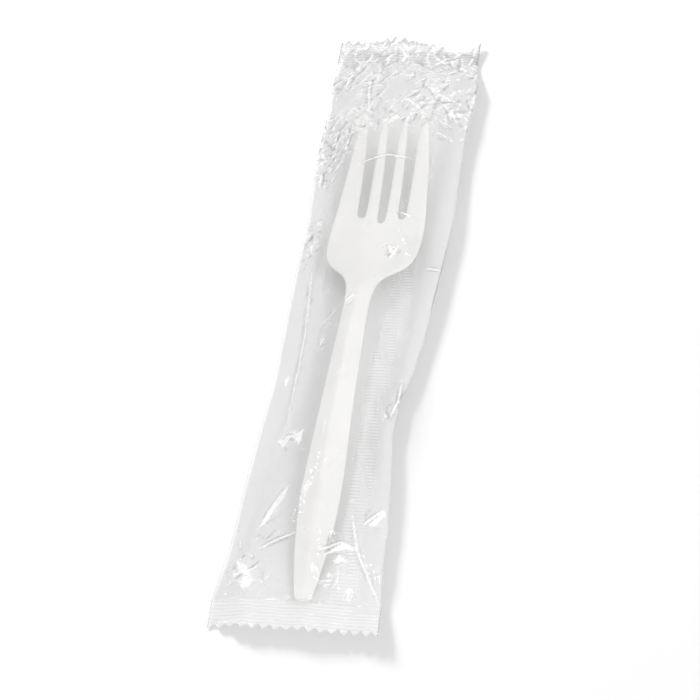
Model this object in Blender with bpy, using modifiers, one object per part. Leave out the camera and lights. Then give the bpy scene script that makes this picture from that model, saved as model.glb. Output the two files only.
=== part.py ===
"""Disposable fork sealed in a clear film sleeve, lying flat.

Metres, +Z up, the sleeve's underside on Z = 0. The long side runs along Y, tines towards +Y.
"""
import math

import bmesh
import bpy

MM = 0.001

# Sleeve: one sheet of film, drawn thicker than real film so that it has a body.
SLEEVE_LENGTH = 200.4
WALL = 0.25
SIDE_WALL = 0.4
SEAL_LENGTH = 8.1
SEAL_THICK = 0.5
RIB_HEIGHT = 0.12
RIB_PITCH = 1.0
TOOTH_PITCH = 2.92
TOOTH_DEPTH = 1.3
TOOTH_COUNT = 17
ARCH_STEPS = 16
FIN_LEFT = 7.5
FIN_RIGHT = 13.5
FIN_FLOOR = 0.5
FIN_GROOVE = 0.12
FIN_MARGIN = 0.5
FIN_RIB_WIDTH = 0.45
VENT_WIDTH = 0.8
VENT_FLOOR = 0.13
VENT_ROOF = 0.37
VENT_INNER_END = -90.0

# Sleeve outline: y, left edge x, right edge x, height of the film's crown.
SLEEVE_SECTIONS = (
    (-91.9, -22.6, 21.6, 1.3),
    (-91.3, -22.4, 21.5, 2.6),
    (-90.0, -22.1, 21.3, 3.5),
    (-86.0, -21.8, 20.8, 5.2),
    (-80.0, -21.4, 20.1, 7.0),
    (-70.0, -20.9, 19.7, 8.7),
    (-58.0, -20.9, 18.9, 10.2),
    (-47.0, -20.4, 17.6, 11.2),
    (-38.0, -19.9, 17.1, 11.8),
    (-29.0, -19.5, 17.3, 12.2),
    (-18.0, -19.3, 19.5, 12.5),
    (-6.0, -19.6, 21.0, 12.6),
    (8.0, -19.9, 21.9, 12.3),
    (24.0, -19.9, 22.9, 11.7),
    (40.0, -20.4, 22.9, 11.5),
    (54.0, -21.0, 22.5, 11.9),
    (64.0, -21.1, 22.8, 12.0),
    (73.0, -20.9, 23.2, 10.8),
    (81.0, -21.2, 23.2, 8.0),
    (87.0, -21.5, 22.8, 4.8),
    (90.4, -21.6, 22.2, 2.6),
    (91.9, -21.6, 22.0, 1.3),
)

# Fork: half widths and heights of the upper face, measured along the fork.
FORK_X = 1.7
FORK_TURN = math.radians(-0.5)
FORK_THICK = 1.2
FORK_BASE = 0.62

# Handle, neck and palm: y, half width, height, ridge above the edges, dish of the edges.
BODY_STATIONS = (
    (-90.9, 1.75, 1.25, 0.05, 0.0),
    (-89.9, 2.4, 1.45, 0.15, 0.0),
    (-86.5, 3.05, 2.1, 0.4, 0.0),
    (-80.5, 4.0, 3.3, 0.9, 0.0),
    (-74.5, 4.75, 4.4, 1.4, 0.0),
    (-67.0, 5.3, 5.7, 1.8, 0.0),
    (-59.0, 5.4, 6.8, 2.0, 0.0),
    (-50.0, 5.1, 7.8, 2.0, 0.0),
    (-40.0, 4.65, 8.7, 1.9, 0.0),
    (-29.0, 4.25, 9.4, 1.8, 0.0),
    (-18.0, 3.9, 9.8, 1.7, 0.0),
    (-9.0, 3.6, 9.9, 1.5, 0.0),
    (-3.0, 3.55, 9.7, 1.2, 0.0),
    (1.5, 3.8, 9.0, 0.8, 0.1),
    (4.8, 4.7, 8.0, 0.4, 0.3),
    (7.4, 6.4, 6.8, 0.1, 0.6),
    (9.4, 8.9, 5.7, 0.0, 0.9),
    (11.8, 11.2, 4.5, 0.0, 1.3),
    (15.0, 12.6, 3.1, 0.0, 1.7),
    (19.0, 13.15, 2.0, 0.0, 1.8),
    (24.0, 13.35, 1.3, 0.0, 1.8),
    (28.0, 13.25, 1.2, 0.0, 1.7),
)

# Tines: y, outer edge, half width of the gaps, height, dish of the edges.
TINE_PITCH = 5.77
TINE_STATIONS = (
    (31.5, 13.0, 1.1, 1.3, 1.6),
    (34.5, 12.75, 1.15, 1.6, 1.5),
    (40.0, 12.35, 1.25, 2.3, 1.3),
    (46.0, 11.85, 1.4, 3.4, 1.1),
    (52.0, 11.25, 1.55, 4.8, 0.9),
    (57.0, 10.65, 1.7, 6.0, 0.8),
    (61.5, 9.95, 1.95, 7.1, 0.7),
    (64.6, 9.4, 2.25, 7.8, 0.6),
)
TIP_REACH = 1.0
MIDDLE_GAP_DROP = 1.6

FORK_WHITE = (0.86, 0.86, 0.845, 1.0)
FILM_CLEAR = (0.93, 0.93, 0.93, 0.3)


def collection(name, hidden=False):
    """Make a collection; a hidden one holds cutting shapes only."""
    made = bpy.data.collections.new(name)
    bpy.context.scene.collection.children.link(made)
    made.hide_render = hidden
    return made


def plastic(name, colour, roughness):
    """Principled material in one colour."""
    made = bpy.data.materials.new(name)
    made.use_nodes = True
    shader = made.node_tree.nodes["Principled BSDF"]
    shader.inputs["Base Color"].default_value = colour
    shader.inputs["Roughness"].default_value = roughness
    shader.inputs["Alpha"].default_value = colour[3]
    made.diffuse_color = colour
    return made


def object_from(name, points, faces, home, smooth=True, closed=True):
    """Mesh object from points in millimetres; an open sheet keeps its faces the way they are listed."""
    mesh = bpy.data.meshes.new(name)
    scaled = [(x * MM, y * MM, z * MM) for x, y, z in points]
    mesh.from_pydata(scaled, [], faces)
    mesh.update()
    if closed:
        outward = bmesh.new()
        outward.from_mesh(mesh)
        bmesh.ops.recalc_face_normals(outward, faces=outward.faces)
        outward.to_mesh(mesh)
        outward.free()
    mesh.polygons.foreach_set("use_smooth", [smooth] * len(mesh.polygons))
    made = bpy.data.objects.new(name, mesh)
    home.objects.link(made)
    return made


def box(name, low, high, home):
    """Box between two corners in millimetres."""
    corners = [(x, y, z) for x in (low[0], high[0]) for y in (low[1], high[1]) for z in (low[2], high[2])]
    faces = [(0, 1, 3, 2), (4, 6, 7, 5), (0, 4, 5, 1), (2, 3, 7, 6), (0, 2, 6, 4), (1, 5, 7, 3)]
    return object_from(name, corners, faces, home, smooth=False)


def loft(name, sections, home):
    """Closed body through sections that all have the same number of points."""
    count = len(sections[0])
    points = [point for section in sections for point in section]
    faces = []
    for row in range(len(sections) - 1):
        for side in range(count):
            a = row * count + side
            b = row * count + (side + 1) % count
            faces.append((a, b, b + count, a + count))
    faces.append(tuple(range(count)))
    faces.append(tuple(range(len(points) - count, len(points))))
    return object_from(name, points, faces, home)


def cut(target, cutter):
    """Take one shape away from another."""
    step = target.modifiers.new("cut_" + cutter.name, "BOOLEAN")
    step.operation = "DIFFERENCE"
    step.solver = "EXACT"
    step.object = cutter
    cutter.display_type = "WIRE"
    cutter.hide_render = True


def repeat(target, count, step_mm):
    """Repeat a shape along one axis."""
    array = target.modifiers.new("repeat", "ARRAY")
    array.count = count
    array.use_relative_offset = False
    array.use_constant_offset = True
    array.constant_offset_displace = [value * MM for value in step_mm]


def sleeve_section(y, left, right, crown, inset=0.0, floor=0.0, fin_floor=0.0):
    """Outline of the sleeve at one Y: flat underside, low sides, arched film over the top."""
    left += inset
    right -= inset
    crown -= floor
    side = min(0.5 * (crown + floor), 0.3 + 0.1 * crown)
    tuck = min(0.9, 0.25 * crown)
    middle = 0.5 * (left + right)
    half = 0.5 * (right - left)
    under = [(left + tuck, floor), (FIN_LEFT - 0.3, floor), (FIN_LEFT, fin_floor)]
    under += [(FIN_RIGHT, fin_floor), (FIN_RIGHT + 0.3, floor), (right - tuck, floor)]
    over = []
    for step in range(ARCH_STEPS + 1):
        across = math.cos(math.pi * step / ARCH_STEPS)
        rise = max(0.0, 1.0 - abs(across) ** 2.4) ** 0.8
        over.append((middle + half * across, side + (crown - side) * rise))
    return [(x, y, z) for x, z in under + over]


def seal_sections(end):
    """Crimped flat end of the sleeve: ribs run across it, parallel to its cut edge."""
    first = SLEEVE_SECTIONS[0] if end < 0 else SLEEVE_SECTIONS[-1]
    left, right = first[1], first[2]
    start = abs(first[0]) + 0.2
    sections = []
    for rib in range(round(SEAL_LENGTH / RIB_PITCH)):
        for offset, height in ((0.0, 0.0), (0.3, RIB_HEIGHT), (0.6, RIB_HEIGHT), (0.9, 0.0)):
            y = end * (start + RIB_PITCH * rib + offset * RIB_PITCH)
            sections.append(sleeve_section(y, left, right, SEAL_THICK + height))
    sections.append(sleeve_section(end * SLEEVE_LENGTH / 2, left, right, SEAL_THICK))
    return sections


def sleeve_body(parts):
    """Outside of the sleeve with both crimped ends."""
    sections = list(reversed(seal_sections(-1)))
    sections += [sleeve_section(*row) for row in SLEEVE_SECTIONS]
    sections += seal_sections(1)
    return loft("film_wrapper", sections, parts)


def sleeve_hollow(cutters):
    """Room inside the sleeve; its floor is higher over the folded back seal."""
    rows = [row for row in SLEEVE_SECTIONS if abs(row[0]) < 91.8]
    sections = []
    for y, left, right, crown in rows:
        sections.append(sleeve_section(y, left, right, crown - WALL, SIDE_WALL, WALL, FIN_FLOOR))
    return loft("hollow", sections, cutters)


def tooth_row(end, cutters):
    """Row of notches that leaves a zigzag edge at one end."""
    edge = end * SLEEVE_LENGTH / 2
    start = -TOOTH_PITCH * TOOTH_COUNT / 2
    points = []
    for z in (-1.0, 2.0):
        points += [(start, edge - end * TOOTH_DEPTH, z)]
        points += [(start + TOOTH_PITCH / 2 + 0.02, edge + end * 0.05, z)]
        points += [(start - TOOTH_PITCH / 2 - 0.02, edge + end * 0.05, z)]
    faces = [(0, 1, 2), (3, 5, 4), (0, 3, 4, 1), (1, 4, 5, 2), (2, 5, 3, 0)]
    name = "teeth_top" if end > 0 else "teeth_bottom"
    teeth = object_from(name, points, faces, cutters, smooth=False)
    repeat(teeth, TOOTH_COUNT + 1, (TOOTH_PITCH, 0, 0))
    return teeth


def fin_cutters(cutters):
    """Grooves in the underside: both edges of the folded back seal and its crimp ribs."""
    reach = SLEEVE_LENGTH / 2 - SEAL_LENGTH - 3
    made = []
    for name, x in (("fin_fold", FIN_LEFT - 0.3), ("fin_edge", FIN_RIGHT)):
        made.append(box(name, (x, -reach - 1, -0.5), (x + 0.3, reach + 1, FIN_GROOVE), cutters))
    low = (FIN_LEFT + FIN_MARGIN, -reach, -0.5)
    high = (FIN_RIGHT - FIN_MARGIN, -reach + FIN_RIB_WIDTH, FIN_GROOVE)
    rib = box("fin_rib", low, high, cutters)
    repeat(rib, round(2 * reach / RIB_PITCH), (0, RIB_PITCH, 0))
    return made + [rib]


def build_sleeve(parts, cutters):
    """Clear film sleeve, hollow, with a hair-thin channel left beside the back seal at one end."""
    sleeve = sleeve_body(parts)
    sleeve.data.materials.append(plastic("clear_film", FILM_CLEAR, 0.12))
    cut(sleeve, sleeve_hollow(cutters))
    cut(sleeve, tooth_row(-1, cutters))
    cut(sleeve, tooth_row(1, cutters))
    for cutter in fin_cutters(cutters):
        cut(sleeve, cutter)
    low = (FIN_RIGHT + 0.6, -SLEEVE_LENGTH / 2 - 1, VENT_FLOOR)
    high = (FIN_RIGHT + 0.6 + VENT_WIDTH, VENT_INNER_END, VENT_ROOF)
    cut(sleeve, box("vent", low, high, cutters))
    return sleeve


def fork_row(y, edge, gap, height, ridge, dish):
    """One row of the fork's upper face: three points for each tine, left to right."""
    inner = (TINE_PITCH - gap, gap)
    half = [edge, 0.5 * (edge + TINE_PITCH + gap), TINE_PITCH + gap]
    half += [inner[0], 0.5 * (inner[0] + inner[1]), inner[1]]
    row = []
    for x in [-value for value in half] + list(reversed(half)):
        across = abs(x) / edge
        fall = ridge * min(1.0, across / 0.8)
        row.append((x, y, height - fall + dish * across ** 2))
    return row


def fork_rows():
    """Rows from the handle's end to the tine tips."""
    root = TINE_STATIONS[0]
    rows = []
    for y, edge, height, ridge, dish in BODY_STATIONS:
        scale = edge / root[1]
        row = fork_row(y, root[1], root[2], height, ridge, dish)
        rows.append([(x * scale, y, z) for x, y, z in row])
    for y, edge, gap, height, dish in TINE_STATIONS:
        rows.append(fork_row(y, edge, gap, height, 0.0, dish))
    first = len(BODY_STATIONS)
    for column in (5, 6):
        x, y, z = rows[first][column]
        rows[first][column] = (x, y - MIDDLE_GAP_DROP, z)
    for tine in range(4):
        x, y, z = rows[-1][3 * tine + 1]
        rows[-1][3 * tine + 1] = (x, y + TIP_REACH, z + 0.2)
    half_width = BODY_STATIONS[0][1]
    handle_end = [(x, y - 0.5 * (1 - abs(x) / half_width), z) for x, y, z in rows[0]]
    return [handle_end] + rows[1:]


def build_fork(parts):
    """White moulded fork: one thin shell with soft edges."""
    rows = fork_rows()
    count = len(rows[0])
    slot_row = len(BODY_STATIONS)
    faces = []
    for row in range(len(rows) - 1):
        for column in range(count - 1):
            if row >= slot_row and column % 3 == 2:
                continue
            a = row * count + column
            faces.append((a, a + 1, a + count + 1, a + count))
    points = [(x, y, z + FORK_BASE) for row in rows for x, y, z in row]
    fork = object_from("fork", points, faces, parts, closed=False)
    fork.data.materials.append(plastic("white_plastic", FORK_WHITE, 0.4))
    shell = fork.modifiers.new("thickness", "SOLIDIFY")
    shell.thickness = FORK_THICK * MM
    shell.offset = -1.0
    shell.use_even_offset = True
    soft = fork.modifiers.new("soft_edges", "SUBSURF")
    soft.levels = 1
    soft.render_levels = 1
    fork.location = (FORK_X * MM, 0, 0)
    fork.rotation_euler = (0, 0, FORK_TURN)
    return fork


def build():
    for old in list(bpy.data.objects):
        bpy.data.objects.remove(old)
    parts = collection("wrapped_fork")
    cutters = collection("cutters", hidden=True)
    build_sleeve(parts, cutters)
    build_fork(parts)


build()
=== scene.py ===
"""Looks of a disposable fork sealed in a clear, crinkled film sleeve.

Millimetres are used for the shapes and turned into metres when a mesh is made. X runs across the
sleeve, Y along it with the tines towards +Y, Z up.
"""

import math

import bpy
import numpy as np
from mathutils import Matrix, Vector
from mathutils.bvhtree import BVHTree
from mathutils.geometry import delaunay_2d_cdt

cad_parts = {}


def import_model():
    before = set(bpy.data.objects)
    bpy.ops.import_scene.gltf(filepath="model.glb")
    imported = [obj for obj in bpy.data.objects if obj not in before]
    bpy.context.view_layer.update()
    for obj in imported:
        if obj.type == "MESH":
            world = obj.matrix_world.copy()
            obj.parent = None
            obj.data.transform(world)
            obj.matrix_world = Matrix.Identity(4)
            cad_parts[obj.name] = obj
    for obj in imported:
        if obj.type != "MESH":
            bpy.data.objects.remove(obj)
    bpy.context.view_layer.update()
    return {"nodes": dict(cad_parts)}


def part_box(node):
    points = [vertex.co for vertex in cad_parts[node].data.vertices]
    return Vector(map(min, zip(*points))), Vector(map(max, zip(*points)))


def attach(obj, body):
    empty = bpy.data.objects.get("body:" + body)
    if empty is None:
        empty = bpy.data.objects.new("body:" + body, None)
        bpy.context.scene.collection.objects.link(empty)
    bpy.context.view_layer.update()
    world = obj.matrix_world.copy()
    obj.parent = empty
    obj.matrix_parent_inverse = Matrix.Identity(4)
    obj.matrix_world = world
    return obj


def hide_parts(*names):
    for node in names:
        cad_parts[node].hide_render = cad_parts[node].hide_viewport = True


MM = 0.001
SEED = 11

# Sleeve outline: y, left edge, right edge.
OUTLINE = (
    (-100.2, -22.3, 21.9), (-97.0, -22.4, 21.9), (-93.0, -22.7, 21.6), (-89.5, -22.6, 21.2),
    (-84.0, -21.9, 20.6), (-78.0, -21.2, 20.0), (-69.5, -20.9, 19.8), (-61.0, -20.9, 19.0),
    (-54.0, -20.7, 18.3), (-48.0, -20.4, 17.6), (-41.0, -20.1, 16.7), (-35.0, -19.8, 17.1),
    (-30.0, -19.5, 17.0), (-25.5, -19.3, 18.5), (-17.5, -19.3, 19.7), (-9.0, -19.5, 20.7),
    (2.7, -19.8, 21.5), (14.8, -20.0, 22.3), (27.3, -19.8, 23.1), (33.0, -19.8, 23.0),
    (42.0, -20.5, 22.8), (50.0, -20.9, 22.5), (56.8, -21.2, 22.4), (64.4, -21.1, 22.7),
    (74.2, -20.7, 23.3), (82.0, -21.3, 23.5), (88.0, -21.4, 22.6), (92.0, -21.3, 21.8),
    (97.0, -21.2, 22.0), (100.2, -21.1, 22.0),
)

# End seals, their zigzag cut and the crimp ribs.
LENGTH = 200.4
HALF_LENGTH = LENGTH / 2
SEAL_START = 92.1
TOOTH_PITCH = 2.92
TOOTH_DEPTH = 1.8
TOOTH_ZONE = 2.2
RIB_PITCH = 1.0
RIB_HEIGHT = 0.16

# Back seal, folded flat under the sleeve.
FIN_LEFT = 7.3
FIN_RIGHT = 13.3
FIN_REST = 0.02
FIN_RIB_HEIGHT = 0.07
FIN_STEP = 0.25
FIN_COLUMNS = 12

# How the film lies: rise of its sides and ends off the surface, and swelling by the air inside.
AIR = 0.01
LIP_WIDTH = 8.0
LEFT_LIFT = 0.1
RIGHT_LIFT = 2.3
FOOT_LIFT = 2.6
END_HEIGHT = 0.4
END_REACH = 0.8
CORNER_X = 14.5
CORNER_PULL = 1.9

# Draping: cells by which the fork is widened, passes, overshoot of each pass, first guess of the height.
DRAPE_SPREAD = 3
DRAPE_PASSES = 700
DRAPE_RATE = 1.85
DRAPE_START = 3.0
FORK_CLEARANCE = 0.2
LAYER_GAP = 0.3

# Folds: height and width against those listed, gain of the bend map and the bend that doesn't show.
CREASE_HEIGHT = 0.55
CREASE_WIDTH = 0.7
BEND_GAIN = 3.4
BEND_DEAD = 0.20

# Film: how white ridges are, partly stress whitening and partly painted highlight, how dark the painted shade
# in valleys is, how bright the painted highlights on shards are, how much haze the left side loses as painted
# shade, the seal's own haze with painted highlight and shade on its ribs, haze of the two layers, shine seen
# face on, and the share of a lamp's light that one layer passes.
RIDGE_WHITENING_AND_HIGHLIGHT = 1.0
VALLEY_SHADE = 0.8
SHARD_HIGHLIGHT = 0.85
LEFT_BAND_SHADE = 0.4
SEAL_HAZE_AND_RIB_SHADE = 0.12
UPPER_HAZE = 0.19
UNDER_HAZE = 0.20
FILM_SHINE = 0.07
FILM_SHADOW = 0.25

# Film grid.
TOP_COLUMNS = 118
UNDER_COLUMNS = 48
BODY_STEP = 0.42
SEAL_STEP = 0.22

# Maps over the sleeve: half size, and the cell size of the draping map and of the crumple map.
MAP_X = 25.0
MAP_Y = 101.0
MAP_STEP = 0.5
FINE_STEP = 0.25

# Fork: place, turn and thickness. Its stations give the upper face, measured along the fork.
FORK_X = 1.7
FORK_TURN = math.radians(-0.5)
FORK_THICK = 1.2
FORK_BASE = 0.62

# Handle, neck and palm: y, half width, height, ridge above the edges, dish of the edges.
BODY_STATIONS = (
    (-90.9, 1.75, 1.25, 0.05, 0.0),
    (-89.9, 2.4, 1.45, 0.15, 0.0),
    (-86.5, 3.05, 2.1, 0.4, 0.0),
    (-80.5, 4.0, 3.3, 0.9, 0.0),
    (-74.5, 4.75, 4.4, 1.4, 0.0),
    (-67.0, 5.3, 5.7, 1.8, 0.0),
    (-59.0, 5.4, 6.8, 2.0, 0.0),
    (-50.0, 5.1, 7.8, 2.0, 0.0),
    (-40.0, 4.65, 8.7, 1.9, 0.0),
    (-29.0, 4.25, 9.4, 1.8, 0.0),
    (-18.0, 3.9, 9.8, 1.7, 0.0),
    (-9.0, 3.6, 9.9, 1.5, 0.0),
    (-3.0, 3.55, 9.7, 1.2, 0.0),
    (1.5, 3.8, 9.0, 0.8, 0.1),
    (4.8, 4.7, 8.0, 0.4, 0.3),
    (7.4, 6.4, 6.8, 0.1, 0.6),
    (9.4, 8.9, 5.7, 0.0, 0.9),
    (11.8, 11.2, 4.5, 0.0, 1.3),
    (15.0, 12.6, 3.1, 0.0, 1.7),
    (19.0, 13.15, 2.0, 0.0, 1.8),
    (24.0, 13.35, 1.3, 0.0, 1.8),
    (28.0, 13.25, 1.2, 0.0, 1.7),
)

# Tines: y, outer edge, half width of the gaps, height, dish of the edges.
TINE_PITCH = 5.77
TINE_STATIONS = (
    (31.5, 13.0, 1.1, 1.3, 1.6),
    (34.5, 12.75, 1.15, 1.6, 1.5),
    (40.0, 12.35, 1.25, 2.3, 1.3),
    (46.0, 11.85, 1.4, 3.4, 1.1),
    (52.0, 11.25, 1.55, 4.8, 0.9),
    (57.0, 10.65, 1.7, 6.0, 0.8),
    (61.5, 9.95, 1.95, 7.1, 0.7),
    (64.6, 9.4, 2.25, 7.8, 0.6),
)
TIP_REACH = 1.0
MIDDLE_GAP_DROP = 1.6

# Flat bands along the sides, where the two layers lie on each other: y, left width, right width.
SIDE_BANDS = (
    (-92.0, 1.0, 1.0), (-80.0, 3.0, 2.5), (-60.0, 5.0, 3.0), (-40.0, 5.5, 2.5), (-10.0, 6.0, 3.5),
    (20.0, 5.5, 5.5), (40.0, 4.5, 5.5), (60.0, 2.5, 4.0), (75.0, 1.5, 1.5), (92.0, 1.0, 1.0),
)

# Studio, in metres.
LIGHT_TARGET = (0.0, -0.01, 0.0)
FLOOR_HALF = 3.0
FLOOR_GAP = 0.0001
WORLD_STRENGTH = 0.75

# Camera, fitted to the outlines of the sleeve and the fork; degrees and millimetres.
CAMERA_TARGET = (0.05, -13.14, 0.0)
CAMERA_DISTANCE = 534.1
CAMERA_AZIMUTH = 21.65
CAMERA_ELEVATION = 53.53
CAMERA_ROLL = -15.02
CAMERA_LENS = 100.54


def edges_at(y):
    """Left and right edge of the sleeve at each Y."""
    table = np.array(OUTLINE)
    left = np.interp(y, table[:, 0], table[:, 1])
    right = np.interp(y, table[:, 0], table[:, 2])
    return left, right


def smooth(low, high, value):
    """Smooth step from 0 at low to 1 at high."""
    t = np.clip((value - low) / (high - low), 0.0, 1.0)
    return t * t * (3.0 - 2.0 * t)


def bump_at(x, y, cx, cy, rx, ry, turn=0.0):
    """Soft round patch, 1 in the middle and 0 well outside."""
    c, s = math.cos(math.radians(turn)), math.sin(math.radians(turn))
    dx, dy = x - cx, y - cy
    u = (dx * c + dy * s) / rx
    v = (-dx * s + dy * c) / ry
    return np.exp(-(u * u + v * v))


class Grid:
    """Regular map of values over the sleeve, read by bilinear interpolation."""

    def __init__(self, step):
        self.step = step
        self.x = np.arange(-MAP_X, MAP_X + 1e-6, step)
        self.y = np.arange(-MAP_Y, MAP_Y + 1e-6, step)
        self.xx, self.yy = np.meshgrid(self.x, self.y)

    def read(self, values, x, y):
        fx = np.clip((x + MAP_X) / self.step, 0, len(self.x) - 1.001)
        fy = np.clip((y + MAP_Y) / self.step, 0, len(self.y) - 1.001)
        ix, iy = fx.astype(int), fy.astype(int)
        tx, ty = fx - ix, fy - iy
        low = values[iy, ix] * (1 - tx) + values[iy, ix + 1] * tx
        high = values[iy + 1, ix] * (1 - tx) + values[iy + 1, ix + 1] * tx
        return low * (1 - ty) + high * ty


def facets(grid, rng, spacing, stretch=1.0, turn=0.0, jitter=0.48):
    """Crumple map: random heights joined by flat triangles, so that every fold is sharp."""
    c, s = math.cos(math.radians(turn)), math.sin(math.radians(turn))
    reach = MAP_X + MAP_Y
    nu = int(2 * reach / spacing) + 1
    nv = int(2 * reach / (spacing * stretch)) + 1
    u, v = np.meshgrid(np.linspace(-reach, reach, nu), np.linspace(-reach, reach, nv))
    u[1::2] += 0.5 * spacing
    u += rng.uniform(-jitter, jitter, u.shape) * spacing
    v += rng.uniform(-jitter, jitter, v.shape) * spacing * stretch
    px, py = (u * c - v * s).ravel(), (u * s + v * c).ravel()
    keep = (np.abs(px) < MAP_X + 2 * spacing * stretch) & (np.abs(py) < MAP_Y + 2 * spacing * stretch)
    px, py = px[keep], py[keep]
    heights = rng.uniform(-1, 1, len(px))
    # The triangles are found in the unstretched plane, so that they come out long.
    flat = [Vector((a * c + b * s, (-a * s + b * c) / stretch)) for a, b in zip(px, py)]
    result = delaunay_2d_cdt(flat, [], [], 0, 1e-6)
    order = [group[0] for group in result[3]]
    values = np.zeros_like(grid.xx)
    for face in result[2]:
        ids = [order[i] for i in face]
        tx, ty, tz = px[ids], py[ids], heights[ids]
        x0 = max(0, int(math.ceil((tx.min() + MAP_X) / grid.step)))
        x1 = min(len(grid.x) - 1, int(math.floor((tx.max() + MAP_X) / grid.step)))
        y0 = max(0, int(math.ceil((ty.min() + MAP_Y) / grid.step)))
        y1 = min(len(grid.y) - 1, int(math.floor((ty.max() + MAP_Y) / grid.step)))
        if x1 < x0 or y1 < y0:
            continue
        det = (ty[1] - ty[2]) * (tx[0] - tx[2]) + (tx[2] - tx[1]) * (ty[0] - ty[2])
        if abs(det) < 1e-9:
            continue
        gx = grid.xx[y0:y1 + 1, x0:x1 + 1]
        gy = grid.yy[y0:y1 + 1, x0:x1 + 1]
        a = ((ty[1] - ty[2]) * (gx - tx[2]) + (tx[2] - tx[1]) * (gy - ty[2])) / det
        b = ((ty[2] - ty[0]) * (gx - tx[2]) + (tx[0] - tx[2]) * (gy - ty[2])) / det
        inside = (a >= -1e-6) & (b >= -1e-6) & (a + b <= 1 + 1e-6)
        height = a * tz[0] + b * tz[1] + (1 - a - b) * tz[2]
        part = values[y0:y1 + 1, x0:x1 + 1]
        part[inside] = height[inside]
    return values


def crease(grid, points, height, width):
    """Sharp straight-sided fold along a line of points, dying out towards both ends."""
    best = np.full(grid.xx.shape, 1e9)
    along = np.zeros(grid.xx.shape)
    lengths = [math.dist(a, b) for a, b in zip(points, points[1:])]
    done = 0.0
    for (ax, ay), (bx, by), length in zip(points, points[1:], lengths):
        dx, dy = bx - ax, by - ay
        t = np.clip(((grid.xx - ax) * dx + (grid.yy - ay) * dy) / (length * length), 0, 1)
        far = np.hypot(grid.xx - ax - t * dx, grid.yy - ay - t * dy)
        along = np.where(far < best, done + t * length, along)
        best = np.minimum(best, far)
        done += length
    share = along / done
    taper = np.minimum(1.0, 3.0 * np.minimum(share + 0.05, 1.05 - share))
    return height * taper * np.maximum(0.0, 1.0 - best / (width * (0.4 + 0.6 * taper)))


def fork_heights(grid, fork):
    """Upper surface of the fork over the map, in millimetres, and -1 where there is no fork."""
    graph = bpy.context.evaluated_depsgraph_get()
    tree = BVHTree.FromObject(fork, graph)
    tops = np.full(grid.xx.shape, -1.0)
    low, high = (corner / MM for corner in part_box("fork"))
    down = Vector((0, 0, -1))
    for j, y in enumerate(grid.y):
        if not low.y - 1 < y < high.y + 1:
            continue
        for i, x in enumerate(grid.x):
            if not low.x - 1 < x < high.x + 1:
                continue
            hit = tree.ray_cast(Vector((x, y, 50.0)) * MM, down)
            if hit[0] is not None:
                tops[j, i] = hit[0].z / MM
    return tops


def spread(values, steps):
    """Widen the high places of a map by a few cells."""
    out = values.copy()
    for _ in range(steps):
        wide = out.copy()
        wide[1:] = np.maximum(wide[1:], out[:-1])
        wide[:-1] = np.maximum(wide[:-1], out[1:])
        wide[:, 1:] = np.maximum(wide[:, 1:], out[:, :-1])
        wide[:, :-1] = np.maximum(wide[:, :-1], out[:, 1:])
        out = wide
    return out


def blur(values, steps):
    """Soften a map a little."""
    out = values.copy()
    for _ in range(steps):
        out[1:-1] = 0.25 * out[:-2] + 0.5 * out[1:-1] + 0.25 * out[2:]
        out[:, 1:-1] = 0.25 * out[:, :-2] + 0.5 * out[:, 1:-1] + 0.25 * out[:, 2:]
    return out


def neighbours(values):
    """Sum of the four cells around each cell, and 0 along the map's border."""
    total = np.zeros_like(values)
    total[1:-1, 1:-1] = values[2:, 1:-1] + values[:-2, 1:-1] + values[1:-1, 2:] + values[1:-1, :-2]
    return total


def envelope(grid, tops):
    """Lowest height the upper film may take: the fork with its gaps bridged, or the under film."""
    wide = spread(tops, DRAPE_SPREAD)
    floor = np.where(wide > 0, wide + FORK_CLEARANCE, LAYER_GAP)
    return np.where(np.abs(grid.yy) < SEAL_START - 1.5, blur(floor, 4), floor)


def drape(grid, floor):
    """Film stretched over the fork: a membrane with a little air under it, held at its edges."""
    left, right = edges_at(grid.yy)
    table = np.array(SIDE_BANDS)
    left = left + np.interp(grid.yy, table[:, 0], table[:, 1])
    right = right - np.interp(grid.yy, table[:, 0], table[:, 2])
    inside = (grid.xx > left) & (grid.xx < right) & (np.abs(grid.yy) < SEAL_START)
    rim = side_height(grid.xx, grid.yy) + 0.1
    film = np.where(inside, np.maximum(floor, DRAPE_START), rim)
    swell = AIR * grid.step ** 2
    parity = (np.indices(film.shape).sum(0) % 2).astype(bool)
    for _ in range(DRAPE_PASSES):
        for cells in (parity, ~parity):
            fresh = film + DRAPE_RATE * (0.25 * neighbours(film) + swell - film)
            film = np.where(inside & cells, np.maximum(fresh, floor), film)
    return film


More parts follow.
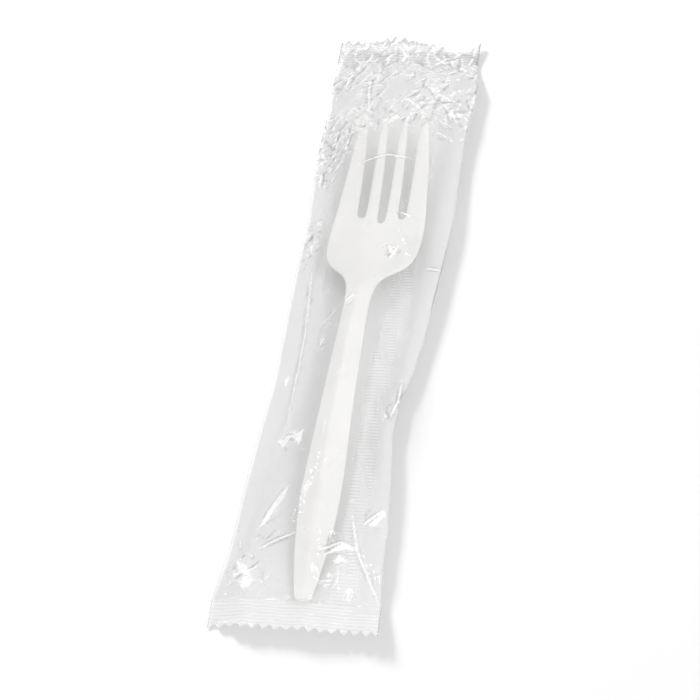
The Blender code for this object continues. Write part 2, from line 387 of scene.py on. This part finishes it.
# Crumpled patches: x, y, half size across and along, turn, then how much of each size of fold.
PATCHES = (
    (-15.0, 56.0, 5.5, 10.0, -20, 0.55, 0.42, 0.16),
    (-17.0, 46.5, 3.0, 4.0, 0, 0.30, 0.35, 0.12),
    (8.5, 72.0, 4.5, 10.0, -10, 0.60, 0.34, 0.10),
    (-2.0, 85.0, 20.0, 3.5, 0, 0.35, 0.26, 0.08),
    (3.0, 64.5, 6.5, 2.5, 0, 0.20, 0.30, 0.08),
    (17.0, 60.5, 3.0, 1.6, 20, 0.20, 0.22, 0.05),
    (-17.0, 24.0, 2.6, 9.0, 0, 0.30, 0.26, 0.08),
    (-5.5, -11.0, 2.6, 10.0, -8, 0.20, 0.18, 0.03),
    (8.2, 15.4, 2.4, 2.0, 30, 0.15, 0.28, 0.04),
    (-9.8, -46.0, 3.6, 2.6, 25, 0.80, 0.15, 0.00),
    (-15.0, -83.5, 4.5, 6.0, 0, 0.55, 0.26, 0.05),
    (-10.5, -71.0, 3.5, 6.0, -30, 0.50, 0.18, 0.03),
    (7.5, -77.0, 4.5, 3.2, 0, 0.50, 0.16, 0.00),
    (16.2, -67.0, 2.4, 3.5, 30, 0.45, 0.20, 0.00),
    (12.6, -89.0, 1.4, 2.4, 0, 0.15, 0.28, 0.00),
    (16.4, -27.0, 1.8, 4.0, 10, 0.25, 0.22, 0.00),
    (15.0, -34.0, 1.6, 3.2, 10, 0.20, 0.22, 0.00),
)

# Calm panels between the crumples: x, y, half sizes.
PANELS = ((-15.5, 75.0, 4.0, 5.5), (19.0, 81.0, 3.2, 4.4), (0.5, 76.0, 4.0, 5.0))

# Single folds seen in the film: line of points, height, width.
CREASES = (
    (((-7.5, 47.2), (2.0, 49.6), (11.0, 48.8)), 0.5, 0.45),
    (((-8.8, 84.0), (-8.2, 76.0), (-6.3, 67.0)), 0.5, 0.7),
    (((9.8, -64.8), (13.4, -77.7), (21.5, -92.1)), 0.4, 0.9),
    (((-15.5, 15.0), (-13.0, -10.0), (-12.5, -40.0)), 0.5, 1.3),
    (((-7.7, -60.0), (-13.9, -71.0)), 0.7, 1.2),
    (((-13.0, -78.0), (-3.0, -74.0)), 0.8, 0.7),
    (((3.0, -78.5), (9.0, -76.0), (13.0, -77.0)), 0.7, 0.7),
    (((16.5, -24.0), (16.5, -31.0), (14.6, -37.0)), 0.6, 0.7),
    (((13.5, -70.0), (18.0, -64.0)), 0.7, 0.7),
    (((-12.5, -44.0), (-6.5, -46.5)), 1.0, 0.8),
    (((-1.6, -4.0), (0.6, -1.4)), 0.35, 0.4),
    (((-1.0, -5.4), (1.2, -2.8)), 0.35, 0.4),
    (((7.0, 18.5), (8.0, 15.0), (9.8, 14.4)), 0.5, 0.5),
    (((17.5, 13.5), (22.0, 13.0)), 0.6, 0.6),
)


def crumple(grid, rng):
    """All the creases of the upper film, in millimetres."""
    x, y = grid.xx, grid.yy
    broad = facets(grid, rng, 12.0, 2.0, 85)
    mid = facets(grid, rng, 4.2, 1.5, 35)
    small = facets(grid, rng, 2.0, 1.4, -30)
    tiny = facets(grid, rng, 1.15, 1.0, 10)
    top = smooth(58, 72, y + 0.5 * np.abs(x - 4) - 6 * smooth(8, 20, x))
    amount_mid = 0.17 + 0.72 * top
    amount_small = 0.08 + 0.50 * top
    amount_tiny = 0.010 + 0.11 * top
    for cx, cy, rx, ry, turn, one, two, three in PATCHES:
        near = np.minimum(1.0, 1.6 * bump_at(x, y, cx, cy, rx, ry, turn))
        amount_mid = np.maximum(amount_mid, 1.4 * one * near)
        amount_small = np.maximum(amount_small, 1.5 * two * near)
        amount_tiny = np.maximum(amount_tiny, 1.5 * three * near)
    calm = np.ones_like(x)
    for cx, cy, rx, ry in PANELS:
        calm = calm * (1.0 - 0.85 * np.minimum(1.0, 1.5 * bump_at(x, y, cx, cy, rx, ry)))
    total = blur(broad, 6) * (0.3 + 0.5 * top)
    total = total + (mid * amount_mid + small * amount_small + tiny * amount_tiny) * calm
    for points, height, width in CREASES:
        total = total + crease(grid, points, CREASE_HEIGHT * height, CREASE_WIDTH * width)
    return total


def sharpness(grid, folds):
    """How sharply the film is folded: 1 on the sharpest ridges and -1 in the sharpest valleys."""
    bend = np.zeros_like(folds)
    bend[1:-1, 1:-1] = (4 * folds - neighbours(folds))[1:-1, 1:-1]
    bend = blur(bend, 1) / grid.step * BEND_GAIN
    return np.clip(np.sign(bend) * np.maximum(np.abs(bend) - BEND_DEAD, 0), -1, 1)


# Painted highlights: bright flat facets of the film, drawn as white patches: corners, in order round each
# one.
SHARDS = (
    ((-14.5, -44.2), (-9.5, -45.0), (-12.0, -47.2)),
    ((-9.5, -45.2), (-6.2, -43.6), (-6.6, -48.4)),
    ((-7.3, -59.8), (-8.3, -64.0), (-12.6, -70.5), (-14.2, -71.5), (-13.0, -68.6), (-9.5, -64.2)),
    ((-15.5, -85.5), (-12.3, -86.6), (-14.6, -89.5)),
    ((-18.5, -80.5), (-15.2, -82.6), (-13.0, -86.0), (-16.8, -84.4)),
    ((4.5, -79.5), (9.5, -76.0), (12.8, -77.2), (9.0, -78.0)),
    ((9.0, -79.0), (12.0, -80.6), (8.0, -81.2)),
    ((14.8, -69.5), (18.2, -64.2), (18.6, -65.6), (16.4, -69.3)),
    ((12.0, -87.0), (13.4, -87.4), (12.6, -91.0)),
    ((-1.4, -3.9), (0.5, -1.2), (0.9, -1.9), (-0.6, -4.3)),
    ((7.2, 17.6), (7.9, 15.2), (9.6, 14.3), (9.4, 15.3), (8.4, 16.0)),
    ((0.6, 60.8), (3.6, 63.6), (2.6, 65.2), (0.8, 63.6)),
    ((-16.2, -24.0), (-15.0, -23.0), (-15.6, -27.0)),
)


def shards(grid):
    """Map of the painted highlights on the shards, 1 inside and 0 outside."""
    total = np.zeros_like(grid.xx)
    for corners in SHARDS:
        odd = np.zeros(grid.xx.shape, bool)
        for (ax, ay), (bx, by) in zip(corners, corners[1:] + corners[:1]):
            crosses = (ay > grid.yy) != (by > grid.yy)
            reach = ax + (grid.yy - ay) * (bx - ax) / (by - ay + 1e-9)
            odd ^= crosses & (grid.xx < reach)
        total = np.maximum(total, odd)
    return total


def side_height(x, y):
    """Height at which the two layers of film meet along the sides: the right one stands off."""
    wave = 0.15 * np.sin(y / 11.0) + 0.08 * np.sin(y / 4.7 + 1.0)
    lift = np.where(x > 0, RIGHT_LIFT + wave, LEFT_LIFT)
    return 0.15 + lift * smooth(92.0, 80.0, np.abs(y))


def side_lip(x, y):
    """Rise of the under film towards the sleeve's sides, 0 inside and 1 at the edge."""
    left, right = edges_at(y)
    return smooth(LIP_WIDTH, 0.3, np.minimum(x - left, right - x))


def edge_fade(x, y):
    """0 at the sleeve's sides, where the two layers meet, and 1 further in."""
    left, right = edges_at(y)
    return smooth(0.0, 1.6, np.minimum(x - left, right - x))


# Free end beyond the tines: how high its cut edge lifts, across the sleeve.
END_LIFT = (
    (-22.0, 2.6), (-16.0, 2.4), (-11.0, 3.0), (-5.5, 5.2), (-2.5, 5.2), (3.0, 3.4), (8.0, 1.6),
    (12.5, 0.4), (16.0, 0.3), (19.5, 0.9), (21.5, 2.2), (23.0, 3.6),
)


def seal_wave(x, y):
    """How far the two ends lift off the surface: the one beyond the tines curls up."""
    table = np.array(END_LIFT)
    lift = np.interp(x, table[:, 0], table[:, 1])
    ripple = 0.25 * np.sin(x * 2.6 + 0.8 * np.sin(x * 0.9)) * smooth(95.0, 100.0, y)
    foot = FOOT_LIFT + 0.25 * np.sin(x / 3.1 + 0.5) + 0.12 * np.sin(x / 1.3)
    foot = foot * smooth(-23.0, -11.0, x)
    curl = np.maximum(END_HEIGHT * lift + ripple, 0.0)
    return smooth(84.0, 100.0, y) * curl + smooth(-82.0, -99.0, y) * foot


def zigzag_phase(value, pitch):
    """Regular zigzag between 0 and 1, with one tooth for each pitch."""
    return np.abs(((value / pitch) % 1.0) * 2 - 1)


def film_surface(x, y, upper, maps):
    """Height of the upper or the under layer of the film."""
    sealed = smooth(-1.0, 0.3, np.abs(y) - SEAL_START)
    ribs = RIB_HEIGHT * zigzag_phase(y, RIB_PITCH) * sealed
    lift = seal_wave(x, y)
    coarse, fine = maps["coarse"], maps["fine"]
    if upper:
        body = coarse.read(maps["drape"], x, y)
        body = body + fine.read(maps["crumple"], x, y) * edge_fade(x, y)
        body = np.maximum(body, coarse.read(maps["floor"], x, y) - 0.04)
        return body * (1 - sealed) + (0.11 + ribs) * sealed + lift
    body = 0.10 + 0.06 * fine.read(maps["under"], x, y)
    body = body + (side_height(x, y) - 0.1) * side_lip(x, y)
    body = body + 0.16 * smooth(FIN_LEFT - 1, FIN_LEFT, x) * smooth(FIN_RIGHT + 1, FIN_RIGHT, x)
    return body * (1 - sealed) + (0.06 + ribs) * sealed + lift


def film_rows():
    """Nominal Y of every row of the film grid: finer in the two crimped ends."""
    ends = np.arange(SEAL_START - 1, HALF_LENGTH, SEAL_STEP)
    body = np.arange(-SEAL_START + 1, SEAL_START - 1 - 1e-6, BODY_STEP)
    return np.unique(np.concatenate(([-HALF_LENGTH], -ends, body, ends, [HALF_LENGTH])))


def tooth_cut(x):
    """Depth of the knife's teeth at each X, a little uneven."""
    uneven = 0.85 + 0.15 * np.sin(1.9 * x + 2.0 * np.sin(0.37 * x))
    return TOOTH_DEPTH * uneven * zigzag_phase(x, TOOTH_PITCH)


def film_points(maps):
    """Grid of the tube of film: X, Y, Z, left edge of the sleeve, and which points are on the upper layer."""
    rows = film_rows()
    across = np.linspace(0, 1, TOP_COLUMNS + 1)
    back = np.linspace(1, 0, UNDER_COLUMNS + 1)[1:-1]
    s = np.concatenate((across, back))
    upper = np.concatenate((np.ones(TOP_COLUMNS + 1, bool), np.zeros(UNDER_COLUMNS - 1, bool)))
    ss, yy = np.meshgrid(s, rows)
    left, right = edges_at(yy)
    xx = left + (right - left) * ss
    near = smooth(HALF_LENGTH - TOOTH_ZONE, HALF_LENGTH, np.abs(yy))
    yy = yy - np.sign(yy) * near * tooth_cut(xx)
    yy = yy + END_REACH * seal_wave(xx, yy) * (yy > 0)
    yy = yy - CORNER_PULL * smooth(90.0, 100.0, yy) * bump_at(xx, 0.0, CORNER_X, 0.0, 5.0, 1.0)
    zz = np.where(upper, film_surface(xx, yy, True, maps), film_surface(xx, yy, False, maps))
    edge = (ss < 1e-9) | (ss > 1 - 1e-9)
    sealed = np.abs(yy) > SEAL_START
    zz = np.where(edge & ~sealed, side_height(xx, yy) + seal_wave(xx, yy), zz)
    return xx, yy, zz, left, upper


def film_whiteness(xx, yy, left, upper, maps):
    """Whiteness of the film: a little everywhere, less on the left band as painted shade, on ridges partly as
    stress whitening and partly as painted highlight, painted highlights on shards and on rib crests, and
    painted light towards the foot.
    """
    # Ridges: whitened partly as the film's stress whitening and partly as painted highlight on sharp folds.
    ridge = np.maximum(maps["fine"].read(maps["fold"], xx, yy) * upper, 0) * RIDGE_WHITENING_AND_HIGHLIGHT
    # Painted highlights: the shards are whitened as glints on the upper layer.
    bright = maps["fine"].read(maps["shards"], xx, yy) * SHARD_HIGHLIGHT * upper
    # Painted light: both layers are whitened a little towards the end beyond the handle.
    foot = smooth(-74.0, -90.0, yy) * 0.04
    sealed = smooth(-1.0, 0.4, np.abs(yy) - SEAL_START)
    # Seal: its own haze, and painted highlight on the crests of its crimp ribs.
    ribs = sealed * SEAL_HAZE_AND_RIB_SHADE * (1 + zigzag_phase(yy, RIB_PITCH)) * upper
    # Painted shade: the haze is cut along the left side to darken the flat band there.
    thin = 1.0 - LEFT_BAND_SHADE * smooth(8.0, 4.0, xx - left) * (np.abs(yy) < SEAL_START)
    return np.maximum(ridge, bright) + ribs + foot + np.where(upper, UPPER_HAZE, UNDER_HAZE) * thin


def film_darkness(xx, yy, upper, maps):
    """Painted shade on the film: darker in valleys, between ribs, over the seal beyond the tines and along
    the ragged edge there.
    """
    # Painted shade: valleys are darkened as where the film turns steep and away from the light.
    painted_shade = np.maximum(-maps["fine"].read(maps["fold"], xx, yy) * upper, 0) * VALLEY_SHADE
    sealed = smooth(-1.0, 0.4, np.abs(yy) - SEAL_START) * upper
    # Painted shade between the crimp ribs of the seals.
    between = 1 - zigzag_phase(yy, RIB_PITCH)
    # Painted shade over the seal beyond the tines, darkest between its ribs.
    top_seal_shade = sealed * (yy > 0) * (0.15 + 0.4 * between)
    # Painted shade: a dark line along the cut edge beyond the tines.
    ragged = smooth(HALF_LENGTH - 1.6, HALF_LENGTH - 0.2, yy) * upper
    return painted_shade + SEAL_HAZE_AND_RIB_SHADE * sealed * between + top_seal_shade + 0.5 * ragged


def build_film(maps):
    """The whole sleeve as one tube of film."""
    xx, yy, zz, left, upper = film_points(maps)
    points = np.stack((xx, yy, zz), -1).reshape(-1, 3) * MM
    count, ring = xx.shape
    base = np.arange(count - 1)[:, None] * ring
    a = base + np.arange(ring)[None]
    b = base + (np.arange(ring)[None] + 1) % ring
    faces = np.stack((a, b, b + ring, a + ring), -1).reshape(-1, 4)
    made = mesh_object("film_sleeve", points, faces)
    # The first attribute holds the film's haze with painted highlights and painted light, the second its
    # painted shade.
    paint(made, "fold", film_whiteness(xx, yy, left, upper, maps))
    paint(made, "painted_shade", film_darkness(xx, yy, upper, maps))
    return made


def paint(made, name, values):
    """Store one number for each point of a mesh, for its material to read."""
    layer = made.data.attributes.new(name, "FLOAT", "POINT")
    layer.data.foreach_set("value", np.clip(values, 0, 1).astype(np.float32).ravel())


def build_fin():
    """Long back seal: a crimped strip folded flat under the sleeve."""
    y = np.arange(-SEAL_START - 1, SEAL_START + 1, FIN_STEP)
    x = np.linspace(FIN_LEFT, FIN_RIGHT, FIN_COLUMNS + 1)
    xx, yy = np.meshgrid(x, y)
    xx = xx + 0.7 * np.sin(yy / 23.0) + 0.35 * np.sin(yy / 9.0 + 1.0)
    rib = zigzag_phase(yy, RIB_PITCH)
    zz = FIN_REST + FIN_RIB_HEIGHT * rib
    points = np.stack((xx, yy, zz), -1).reshape(-1, 3) * MM
    row = len(x)
    base = np.arange(len(y) - 1)[:, None] * row
    a = base + np.arange(row - 1)[None]
    faces = np.stack((a, a + 1, a + 1 + row, a + row), -1).reshape(-1, 4)
    made = mesh_object("film_back_seal", points, faces)
    # Painted highlight on the crests of the fin's ribs and painted shade between them, stronger in patches.
    rib_shade_patches = 0.5 + 0.5 * np.sin(yy / 7.0) * np.sin(xx * 1.3 + yy / 3.0)
    paint(made, "fold", UNDER_HAZE + 0.7 * rib * rib_shade_patches)
    paint(made, "painted_shade", 0.9 * (1 - rib) * rib_shade_patches)
    return made


def mesh_object(name, points, faces):
    """Smooth-shaded object from arrays of points and quads."""
    mesh = bpy.data.meshes.new(name)
    mesh.vertices.add(len(points))
    mesh.vertices.foreach_set("co", points.astype(np.float32).ravel())
    mesh.loops.add(faces.size)
    mesh.loops.foreach_set("vertex_index", faces.astype(np.int32).ravel())
    mesh.polygons.add(len(faces))
    mesh.polygons.foreach_set("loop_start", np.arange(0, faces.size, 4, dtype=np.int32))
    mesh.polygons.foreach_set("loop_total", np.full(len(faces), 4, np.int32))
    mesh.update(calc_edges=True)
    mesh.validate()
    mesh.polygons.foreach_set("use_smooth", np.ones(len(mesh.polygons), bool))
    made = bpy.data.objects.new(name, mesh)
    bpy.context.scene.collection.objects.link(made)
    return made


def fork_row(y, edge, gap, height, ridge, dish):
    """One row of the fork's upper face: three points for each tine, left to right."""
    inner = (TINE_PITCH - gap, gap)
    half = [edge, 0.5 * (edge + TINE_PITCH + gap), TINE_PITCH + gap]
    half += [inner[0], 0.5 * (inner[0] + inner[1]), inner[1]]
    row = []
    for x in [-value for value in half] + list(reversed(half)):
        across = abs(x) / edge
        fall = ridge * min(1.0, across / 0.8)
        row.append((x, y, height - fall + dish * across ** 2))
    return row


def fork_rows():
    """Rows from the handle's end to the tine tips."""
    root = TINE_STATIONS[0]
    rows = []
    for y, edge, height, ridge, dish in BODY_STATIONS:
        scale = edge / root[1]
        row = fork_row(y, root[1], root[2], height, ridge, dish)
        rows.append([(x * scale, y, z) for x, y, z in row])
    for y, edge, gap, height, dish in TINE_STATIONS:
        rows.append(fork_row(y, edge, gap, height, 0.0, dish))
    first = len(BODY_STATIONS)
    for column in (5, 6):
        x, y, z = rows[first][column]
        rows[first][column] = (x, y - MIDDLE_GAP_DROP, z)
    for tine in range(4):
        x, y, z = rows[-1][3 * tine + 1]
        rows[-1][3 * tine + 1] = (x, y + TIP_REACH, z + 0.2)
    half_width = BODY_STATIONS[0][1]
    handle_end = [(x, y - 0.5 * (1 - abs(x) / half_width), z) for x, y, z in rows[0]]
    return [handle_end] + rows[1:]


def build_fork():
    """The fork again with the same control net as the CAD, but finely rounded."""
    rows = fork_rows()
    count = len(rows[0])
    slot_row = len(BODY_STATIONS)
    faces = []
    for row in range(len(rows) - 1):
        for column in range(count - 1):
            if row >= slot_row and column % 3 == 2:
                continue
            a = row * count + column
            faces.append((a, a + 1, a + count + 1, a + count))
    points = np.array([(x, y, z + FORK_BASE) for row in rows for x, y, z in row]) * MM
    turn = np.array(Matrix.Rotation(FORK_TURN, 2))
    points[:, :2] = points[:, :2] @ turn.T
    points[:, 0] += FORK_X * MM
    fork = mesh_object("moulded_fork", points, np.array(faces))
    shell = fork.modifiers.new("thickness", "SOLIDIFY")
    shell.thickness = FORK_THICK * MM
    shell.offset = -1.0
    shell.use_even_offset = True
    soft = fork.modifiers.new("soft_edges", "SUBSURF")
    soft.levels = 3
    soft.render_levels = 3
    return fork


class Nodes:
    """Small helper that builds a node material."""

    def __init__(self, name):
        self.material = bpy.data.materials.new(name)
        self.material.use_nodes = True
        self.tree = self.material.node_tree
        self.tree.nodes.clear()

    def add(self, kind, **settings):
        node = self.tree.nodes.new(kind)
        for key, value in settings.items():
            if hasattr(node, key):
                setattr(node, key, value)
            else:
                node.inputs[key.replace("_", " ")].default_value = value
        return node

    def link(self, source, output, target, entry):
        self.tree.links.new(source.outputs[output], target.inputs[entry])


def white_plastic():
    """Moulded white plastic: satin, faintly uneven."""
    n = Nodes("moulded_white")
    coords = n.add("ShaderNodeTexCoord")
    broad = n.add("ShaderNodeTexNoise", Scale=90.0, Detail=3.0)
    fine = n.add("ShaderNodeTexNoise", Scale=2200.0, Detail=2.0)
    n.link(coords, "Object", broad, "Vector")
    n.link(coords, "Object", fine, "Vector")
    ramp = n.add("ShaderNodeValToRGB")
    ramp.color_ramp.elements[0].position = 0.35
    ramp.color_ramp.elements[0].color = (0.72, 0.715, 0.70, 1)
    ramp.color_ramp.elements[1].position = 0.7
    ramp.color_ramp.elements[1].color = (0.76, 0.755, 0.745, 1)
    n.link(broad, "Fac", ramp, "Fac")
    bump = n.add("ShaderNodeBump", Strength=0.25, Distance=0.00004)
    n.link(fine, "Fac", bump, "Height")
    shader = n.add("ShaderNodeBsdfPrincipled", Roughness=0.38)
    shader.inputs["Subsurface Weight"].default_value = 0.15
    shader.inputs["Subsurface Scale"].default_value = 0.001
    shader.inputs["Subsurface Radius"].default_value = (1.0, 0.9, 0.8)
    n.link(ramp, "Color", shader, "Base Color")
    n.link(bump, "Normal", shader, "Normal")
    out = n.add("ShaderNodeOutputMaterial")
    n.link(shader, "BSDF", out, "Surface")
    return n.material


def clear_film():
    """Thin clear film: see-through, glossy by its angle, whitened along its creases partly as painted
    highlight, and darkened by the painted shade its mesh carries.
    """
    n = Nodes("crinkled_film")
    coords = n.add("ShaderNodeTexCoord")
    crinkle = n.add("ShaderNodeTexVoronoi", Scale=700.0)
    crinkle.feature = "DISTANCE_TO_EDGE"
    wobble = n.add("ShaderNodeTexNoise", Scale=260.0, Detail=5.0, Roughness=0.6)
    n.link(coords, "Object", crinkle, "Vector")
    n.link(coords, "Object", wobble, "Vector")
    blend = n.add("ShaderNodeMath", operation="ADD")
    n.link(crinkle, "Distance", blend, 0)
    n.link(wobble, "Fac", blend, 1)
    bump = n.add("ShaderNodeBump", Strength=0.3, Distance=0.0001)
    n.link(blend, "Value", bump, "Height")
    # Whiteness from the mesh: haze, stress whitening, painted highlights and painted light.
    fold = n.add("ShaderNodeAttribute", attribute_name="fold")
    milk = n.add("ShaderNodeTexNoise", Scale=70.0, Detail=5.0, Roughness=0.65)
    n.link(coords, "Object", milk, "Vector")
    level = n.add("ShaderNodeMapRange")
    level.inputs["From Min"].default_value = 0.35
    level.inputs["From Max"].default_value = 0.7
    level.inputs["To Min"].default_value = 0.01
    level.inputs["To Max"].default_value = 0.05
    n.link(milk, "Fac", level, "Value")
    haze = n.add("ShaderNodeMath", operation="ADD", use_clamp=True)
    n.link(fold, "Fac", haze, 0)
    n.link(level, "Result", haze, 1)
    # Painted shade from the mesh darkens what the film lets through.
    painted_shade = n.add("ShaderNodeAttribute", attribute_name="painted_shade")
    painted_shade_tint = n.add("ShaderNodeMapRange")
    painted_shade_tint.inputs["To Min"].default_value = 1.0
    painted_shade_tint.inputs["To Max"].default_value = 0.35
    n.link(painted_shade, "Fac", painted_shade_tint, "Value")
    clear = n.add("ShaderNodeBsdfTransparent")
    n.link(painted_shade_tint, "Result", clear, "Color")
    white = n.add("ShaderNodeBsdfDiffuse", Color=(0.98, 0.98, 0.98, 1))
    through = n.add("ShaderNodeBsdfTranslucent", Color=(0.98, 0.98, 0.98, 1))
    n.link(bump, "Normal", white, "Normal")
    n.link(bump, "Normal", through, "Normal")
    soft = n.add("ShaderNodeMixShader", Fac=0.3)
    n.link(white, "BSDF", soft, 1)
    n.link(through, "BSDF", soft, 2)
    body = n.add("ShaderNodeMixShader")
    n.link(haze, "Value", body, "Fac")
    n.link(clear, "BSDF", body, 1)
    n.link(soft, "Shader", body, 2)
    gloss = n.add("ShaderNodeBsdfGlossy", Color=(1, 1, 1, 1), Roughness=0.09)
    n.link(bump, "Normal", gloss, "Normal")
    # A thin sheet shines alike from both sides, so its shine is worked out from how it faces.
    facing = n.add("ShaderNodeLayerWeight", Blend=0.5)
    n.link(bump, "Normal", facing, "Normal")
    steep = n.add("ShaderNodeMath", operation="POWER")
    steep.inputs[1].default_value = 5.0
    n.link(facing, "Facing", steep, 0)
    shine = n.add("ShaderNodeMath", operation="MULTIPLY_ADD", use_clamp=True)
    shine.inputs[1].default_value = 0.93
    shine.inputs[2].default_value = FILM_SHINE
    n.link(steep, "Value", shine, 0)
    full = n.add("ShaderNodeMixShader")
    n.link(shine, "Value", full, "Fac")
    n.link(body, "Shader", full, 1)
    n.link(gloss, "BSDF", full, 2)
    # A lamp's light passes each layer of film in part, so that the pack has a soft grey shadow.
    shade = n.add("ShaderNodeBsdfTransparent", Color=(FILM_SHADOW, FILM_SHADOW, FILM_SHADOW, 1))
    rays = n.add("ShaderNodeLightPath")
    cast = n.add("ShaderNodeMixShader")
    n.link(rays, "Is Shadow Ray", cast, "Fac")
    n.link(full, "Shader", cast, 1)
    n.link(shade, "BSDF", cast, 2)
    out = n.add("ShaderNodeOutputMaterial")
    n.link(cast, "Shader", out, "Surface")
    return n.material


def area_light(name, place, size, power):
    """Soft rectangular light aimed at the middle of the pack."""
    data = bpy.data.lights.new(name, "AREA")
    data.shape = "RECTANGLE"
    data.size, data.size_y = size
    data.energy = power
    made = bpy.data.objects.new(name, data)
    bpy.context.scene.collection.objects.link(made)
    made.location = place
    aim = Vector(LIGHT_TARGET) - Vector(place)
    made.rotation_euler = aim.to_track_quat("-Z", "Y").to_euler()
    return made


# Small bright lights that glint on the folds: compass turn from +Y, height, size, power.
SPARKLES = (
    (-62.0, 50.0, 0.07, 0.07), (62.0, 66.0, 0.07, 0.16), (20.0, 32.0, 0.07, 0.16),
    (-95.0, 35.0, 0.07, 0.08), (140.0, 60.0, 0.07, 0.16), (-150.0, 50.0, 0.07, 0.16),
    (-40.0, 84.0, 0.06, 0.12), (85.0, 40.0, 0.06, 0.12),
)


def only(name, made):
    """Collection of one object, for linking a light to it."""
    group = bpy.data.collections.new(name)
    group.objects.link(made)
    return group


def floor_white():
    """Plain pale floor, faintly uneven."""
    n = Nodes("floor_white")
    grain = n.add("ShaderNodeTexNoise", Scale=40.0, Detail=2.0)
    ramp = n.add("ShaderNodeValToRGB")
    ramp.color_ramp.elements[0].color = (0.60, 0.60, 0.60, 1)
    ramp.color_ramp.elements[1].color = (0.61, 0.61, 0.61, 1)
    n.link(grain, "Fac", ramp, "Fac")
    shader = n.add("ShaderNodeBsdfDiffuse")
    n.link(ramp, "Color", shader, "Color")
    out = n.add("ShaderNodeOutputMaterial")
    n.link(shader, "BSDF", out, "Surface")
    return n.material


def build_floor():
    """Square floor a hair below the pack."""
    mesh = bpy.data.meshes.new("floor")
    side = FLOOR_HALF
    corners = [(-side, -side, 0), (side, -side, 0), (side, side, 0), (-side, side, 0)]
    mesh.from_pydata(corners, [], [(0, 1, 2, 3)])
    mesh.materials.append(floor_white())
    floor = bpy.data.objects.new("floor", mesh)
    bpy.context.scene.collection.objects.link(floor)
    floor.location.z = -FLOOR_GAP
    return floor


def even_world():
    """Even white light from all sides, found by the rays themselves, so that it passes the clear film."""
    world = bpy.data.worlds.new("studio")
    bpy.context.scene.world = world
    world.use_nodes = True
    back = world.node_tree.nodes["Background"]
    back.inputs["Color"].default_value = (1, 1, 1, 1)
    back.inputs["Strength"].default_value = WORLD_STRENGTH
    world.cycles.sampling_method = "NONE"


def studio(film, fork):
    """Pale floor, even world, softbox behind, key and fill at the sides, glints, and a low shadow light.

    Only the fork shades the first three lamps. The low light falls on the floor alone and only the film
    shades it, which gives the drop shadow on the right of the pack and below it.
    """
    floor = build_floor()
    even_world()
    solid = only("casts_in_softbox", fork)
    softbox = area_light("softbox", (0.25, 0.48, 0.90), (1.7, 0.9), 1.8)
    key = area_light("key_right", (0.75, -0.35, 0.8), (0.45, 0.45), 3.6)
    fill = area_light("fill_left", (-0.85, -0.35, 0.55), (0.6, 0.6), 1.8)
    for lamp in (softbox, key, fill):
        lamp.light_linking.blocker_collection = solid
    for index, (turn, height, size, power) in enumerate(SPARKLES):
        angle = math.radians(turn)
        flat = math.cos(math.radians(height))
        place = (math.sin(angle) * flat, math.cos(angle) * flat, math.sin(math.radians(height)))
        area_light(f"sparkle_{index}", place, (size, size), power)
    low = area_light("low_left", (-0.64, 0.64, 0.39), (0.25, 0.25), 15.0)
    low.light_linking.receiver_collection = only("lit_by_low_left", floor)
    low.light_linking.blocker_collection = only("casts_in_low_left", film)
    scene = bpy.context.scene
    scene.view_settings.view_transform = "Standard"
    scene.view_settings.look = "None"
    scene.view_settings.exposure = 0.0
    scene.cycles.transparent_max_bounces = 24


def camera():
    """Camera at the fitted angle, rolled as the sleeve lies in the frame."""
    az = math.radians(CAMERA_AZIMUTH)
    el = math.radians(CAMERA_ELEVATION)
    roll = math.radians(CAMERA_ROLL)
    back = Vector((math.sin(az) * math.cos(el), -math.cos(az) * math.cos(el), math.sin(el)))
    right = Vector((math.cos(az), math.sin(az), 0.0))
    up = back.cross(right)
    side = math.cos(roll) * right + math.sin(roll) * up
    head = -math.sin(roll) * right + math.cos(roll) * up
    place = (Vector(CAMERA_TARGET) + back * CAMERA_DISTANCE) * MM
    data = bpy.data.cameras.new("camera")
    data.lens = CAMERA_LENS
    data.sensor_width = 36.0
    data.clip_start = 0.01
    made = bpy.data.objects.new("camera", data)
    bpy.context.scene.collection.objects.link(made)
    turn = Matrix((side, head, back)).transposed().to_4x4()
    made.matrix_world = Matrix.Translation(place) @ turn
    bpy.context.scene.camera = made


def build_maps(fork):
    """All the maps that shape and shade the film."""
    rng = np.random.default_rng(SEED)
    coarse = Grid(MAP_STEP)
    fine = Grid(FINE_STEP)
    tops = fork_heights(coarse, fork)
    folds = crumple(fine, rng)
    floor = envelope(coarse, tops)
    return {
        "coarse": coarse,
        "fine": fine,
        "floor": floor,
        "drape": drape(coarse, floor),
        "crumple": folds,
        "fold": sharpness(fine, folds),
        "shards": shards(fine),
        "under": facets(fine, rng, 5.0) * 0.5 + facets(fine, rng, 2.2) * 0.3,
    }


def main():
    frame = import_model()
    film = build_film(build_maps(frame["nodes"]["fork"]))
    fin = build_fin()
    material = clear_film()
    for piece in (film, fin):
        piece.data.materials.append(material)
        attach(piece, "root")
        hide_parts("film_wrapper")
    moulded = build_fork()
    moulded.data.materials.append(white_plastic())
    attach(moulded, "root")
    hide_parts("fork")
    studio(film, moulded)
    camera()


main()
